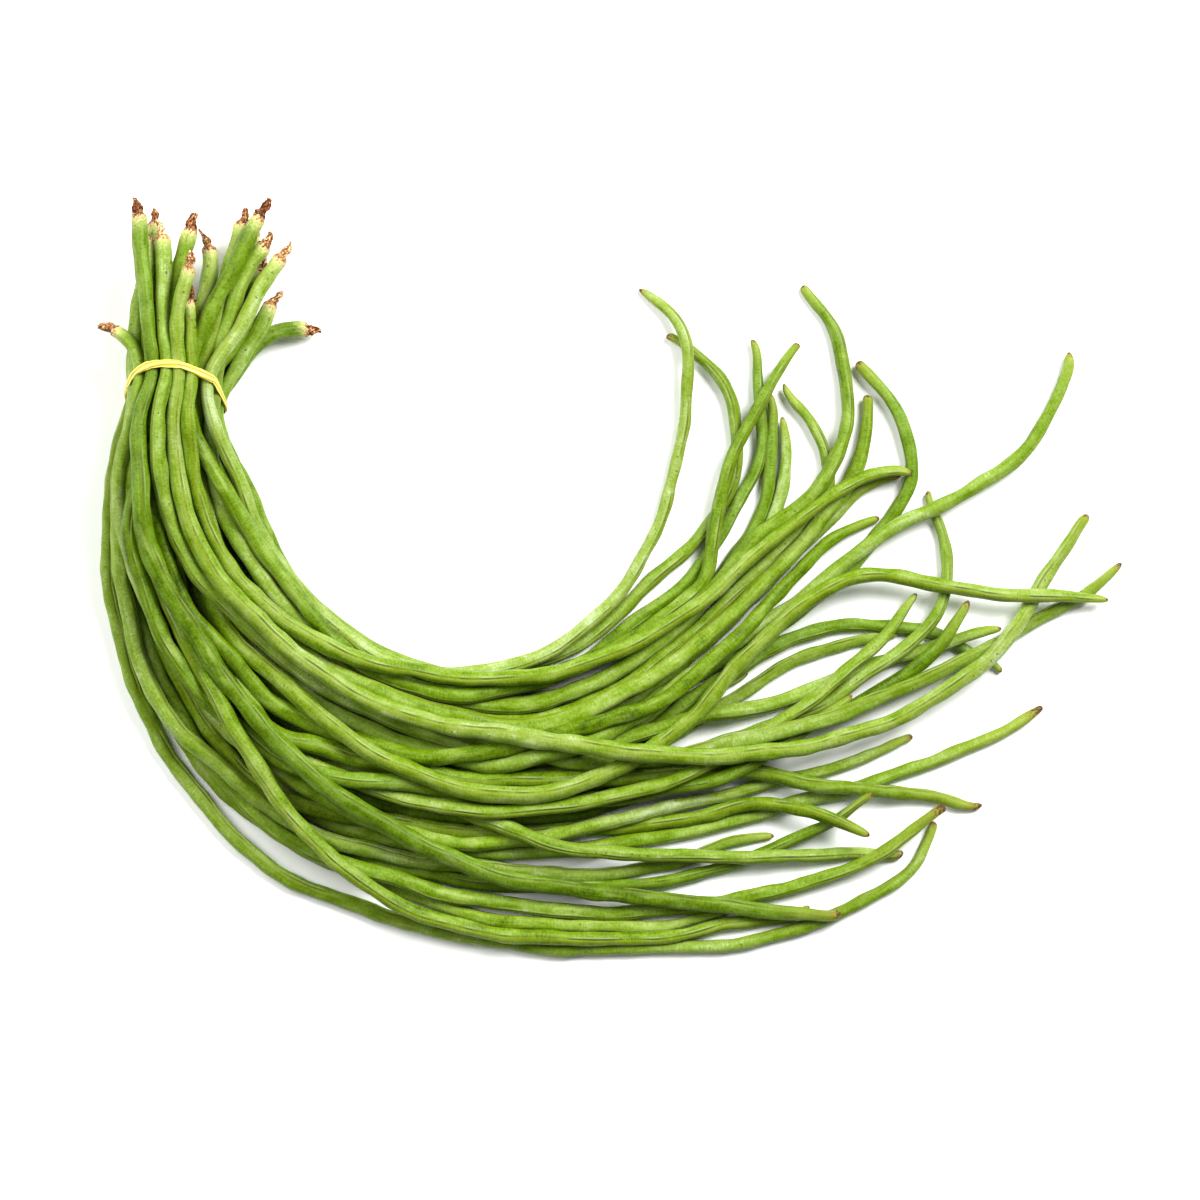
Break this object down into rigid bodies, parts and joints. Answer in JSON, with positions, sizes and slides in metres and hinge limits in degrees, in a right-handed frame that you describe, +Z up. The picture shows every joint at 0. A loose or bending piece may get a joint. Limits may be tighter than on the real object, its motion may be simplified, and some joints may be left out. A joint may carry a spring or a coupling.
{
  "type": "yardlong bean bunch",
  "caption": "Bunch of very long thin green bean pods tied near their stalk ends with a yellow rubber band, lying in a wide curve and fanned out towards the tips.",
  "frame": {"origin": "on the table under the middle of the bunch's box", "axes": "+X from the tied stalk ends towards the fanned tips, the longest extent; +Y from the curve of pods towards the stalk ends; +Z up, the shortest extent"},
  "size_m": [0.5094, 0.3772, 0.0534],
  "materials": {
    "pod_light": "satin yellow-green pod skin with fine cross wrinkles and a darker seam",
    "pod_green": "satin mid-green pod skin with fine cross wrinkles and a darker seam",
    "pod_deep": "satin deep-green pod skin, smoother, with a darker seam",
    "rubber_band": "dull yellow rubber, stretched and slightly twisted"
  },
  "bodies": {
    "root": {"bean_01": "pod_light", "bean_02": "pod_deep", "bean_03": "pod_light", "bean_04": "pod_green", "bean_05": "pod_light", "bean_06": "pod_green", "bean_07": "pod_green", "bean_08": "pod_green", "bean_09": "pod_green", "bean_10": "pod_light", "bean_11": "pod_light", "bean_12": "pod_light", "bean_13": "pod_green", "bean_14": "pod_green", "bean_15": "pod_light", "bean_16": "pod_light", "bean_17": "pod_green", "bean_18": "pod_deep", "bean_19": "pod_green", "bean_20": "pod_light", "bean_21": "pod_deep", "bean_22": "pod_green", "bean_23": "pod_green", "bean_24": "pod_deep", "bean_25": "pod_green", "bean_26": "pod_deep", "bean_27": "pod_green", "bean_28": "pod_green", "bean_29": "pod_light", "bean_30": "pod_deep", "bean_31": "pod_deep", "bean_32": "pod_green", "bean_33": "pod_green", "bean_34": "pod_light", "bean_35": "pod_green", "bean_36": "pod_deep", "bean_37": "pod_light", "rubber_band": "rubber_band"}
  },
  "joints": []
}
